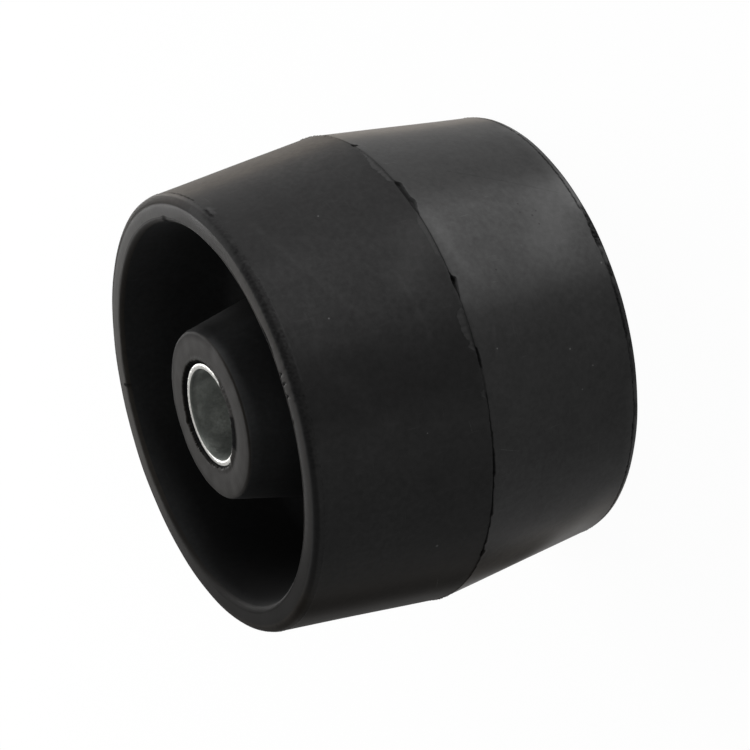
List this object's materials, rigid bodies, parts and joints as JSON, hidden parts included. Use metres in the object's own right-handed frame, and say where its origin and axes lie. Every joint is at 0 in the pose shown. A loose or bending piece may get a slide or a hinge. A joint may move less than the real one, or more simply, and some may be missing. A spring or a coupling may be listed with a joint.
{
  "type": "boat trailer roller",
  "caption": "Double-tapered black rubber roller with deep ring pockets at both ends and a bonded steel sleeve that turns on an axle.",
  "frame": {"origin": "centre of the axle bore, at mid-width on the parting line", "axes": "+Z along the axle bore, out of the end that the picture shows; X and Y are alike all round"},
  "size_m": [0.1208, 0.1208, 0.09],
  "materials": {
    "black_rubber": "moulded satin black rubber with light scuffs and mould flash",
    "zinc_steel": "dull zinc-plated steel tube with bright cut ends"
  },
  "bodies": {
    "root": {"rubber_roller": "black_rubber", "steel_sleeve": "zinc_steel"}
  },
  "joints": []
}
